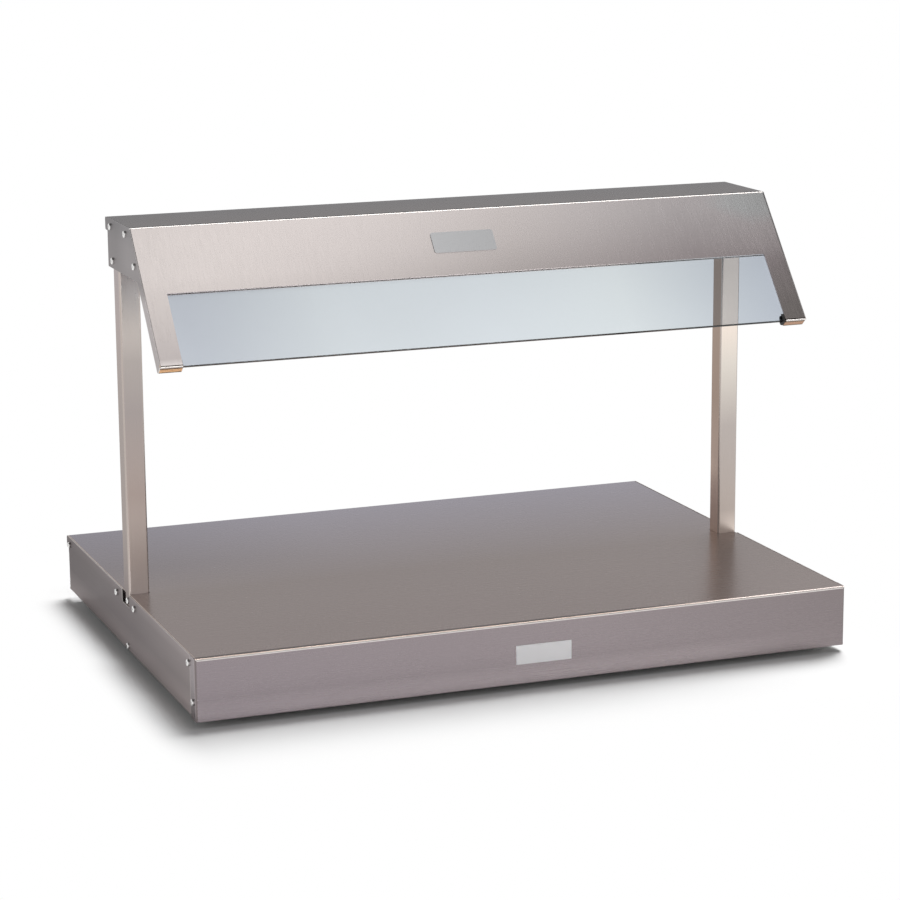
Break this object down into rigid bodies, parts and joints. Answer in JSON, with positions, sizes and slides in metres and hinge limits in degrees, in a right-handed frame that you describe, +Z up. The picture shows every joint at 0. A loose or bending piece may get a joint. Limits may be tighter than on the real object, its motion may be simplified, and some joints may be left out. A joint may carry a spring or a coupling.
{
  "type": "hot buffet counter",
  "caption": "Tabletop heated steel counter: flat warming base, square posts and a sloped lamp canopy with a lift-out glass front.",
  "frame": {"origin": "on the surface the feet stand on, under the middle of the base", "axes": "+X along the counter to the customer's right, the customer's side faces -Y, +Z up"},
  "size_m": [0.8048, 0.6004, 0.524],
  "materials": {
    "stainless": "fine brushed",
    "canopy_stainless": "fine brushed",
    "inner_steel": "plain mill",
    "fastener_steel": "bright",
    "polished_aluminium": "polished",
    "guard_wire": "plated",
    "glass": "clear toughened",
    "quartz": "clear",
    "ceramic": "unglazed",
    "black_rubber": "matt",
    "black_plastic": "fine grain",
    "red_plastic": "gloss",
    "amber_lens": "gloss",
    "pale_plastic": "plain",
    "silicone_mat": "matt",
    "insulation": "fibrous",
    "copper_tube": "plain",
    "loom_sleeve": "braided",
    "label_white": "satin",
    "nameplate_metal": "satin"
  },
  "bodies": {
    "counter": {"base_bottom_pan": "inner_steel", "base_end_left": "stainless", "base_end_right": "stainless", "base_rear_panel": "stainless", "base_screws": "fastener_steel", "base_skin": "stainless", "blank_label": "label_white", "blank_nameplate": "nameplate_metal", "cable_gland": "black_plastic", "canopy_back": "canopy_stainless", "canopy_end_left": "canopy_stainless", "canopy_end_right": "canopy_stainless", "canopy_screws": "fastener_steel", "canopy_shell": "canopy_stainless", "foot_1": "black_rubber", "foot_2": "black_rubber", "foot_3": "black_rubber", "foot_4": "black_rubber", "foot_nuts": "fastener_steel", "foot_screws": "fastener_steel", "glass_cushion_left": "black_rubber", "glass_cushion_right": "black_rubber", "glass_pocket": "inner_steel", "glass_seal": "black_rubber", "heater_mat_left": "silicone_mat", "heater_mat_right": "silicone_mat", "heater_strap_1": "inner_steel", "heater_strap_2": "inner_steel", "heater_strap_3": "inner_steel", "heater_strap_4": "inner_steel", "insulation_board": "insulation", "lamp_guard": "guard_wire", "lamp_holder_1": "ceramic", "lamp_holder_2": "ceramic", "lamp_holder_3": "ceramic", "lamp_holder_4": "ceramic", "lamp_loom": "loom_sleeve", "lamp_reflector": "polished_aluminium", "lamp_tube_left": "quartz", "lamp_tube_right": "quartz", "pilot_lamp": "amber_lens", "post_bolts": "fastener_steel", "post_left": "stainless", "post_nuts": "fastener_steel", "post_right": "stainless", "post_stay_left": "inner_steel", "post_stay_right": "inner_steel", "rear_panel_screws": "fastener_steel", "switch_housing_base": "black_plastic", "switch_housing_lamps": "black_plastic", "terminal_block": "pale_plastic", "thermostat_body": "black_plastic", "thermostat_sensor": "copper_tube"},
    "glass": {"glass_pane": "glass"},
    "base_rocker": {"switch_rocker_base": "red_plastic"},
    "lamp_rocker": {"switch_rocker_lamps": "red_plastic"},
    "knob": {"thermostat_knob": "black_plastic", "thermostat_spindle": "fastener_steel"}
  },
  "joints": [
    {"name": "glass_lift", "type": "slide", "parent": "counter", "child": "glass", "axis": [0, 0.6428, 0.766], "range_m": [0, 0.011]},
    {"name": "base_switch", "type": "hinge", "parent": "counter", "child": "base_rocker", "pos_m": [-0.11, 0.267, 0.04475], "axis": [1, 0, 0], "range_deg": [0, 24]},
    {"name": "lamp_switch", "type": "hinge", "parent": "counter", "child": "lamp_rocker", "pos_m": [-0.16, 0.267, 0.04475], "axis": [1, 0, 0], "range_deg": [0, 24]},
    {"name": "thermostat_turn", "type": "hinge", "parent": "counter", "child": "knob", "pos_m": [0, 0.27, 0.04475], "axis": [0, -1, 0], "range_deg": [0, 270]}
  ]
}
